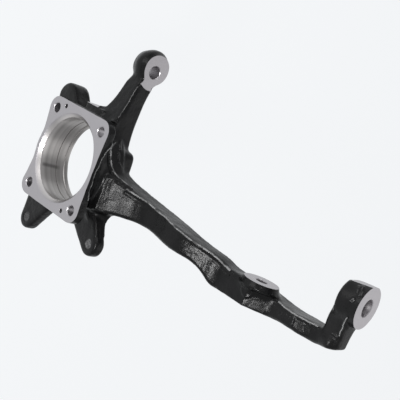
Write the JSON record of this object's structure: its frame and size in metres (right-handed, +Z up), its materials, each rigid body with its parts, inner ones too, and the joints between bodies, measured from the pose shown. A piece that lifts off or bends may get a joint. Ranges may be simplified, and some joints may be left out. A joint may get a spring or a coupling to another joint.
{
  "type": "steering knuckle",
  "caption": "Cast iron steering knuckle with a bolted hub flange and bore, a long curved arm to the upper ball joint, a tie rod arm and caliper ears.",
  "frame": {"origin": "centre of the hub bore on the machined outboard face of the flange", "axes": "+X outboard along the wheel axis, +Y towards the brake caliper ears, +Z up towards the upper ball joint"},
  "size_m": [0.1532, 0.2533, 0.4654],
  "materials": {
    "painted_casting": "satin"
  },
  "bodies": {
    "root": {"steering_knuckle": "painted_casting"}
  },
  "joints": []
}
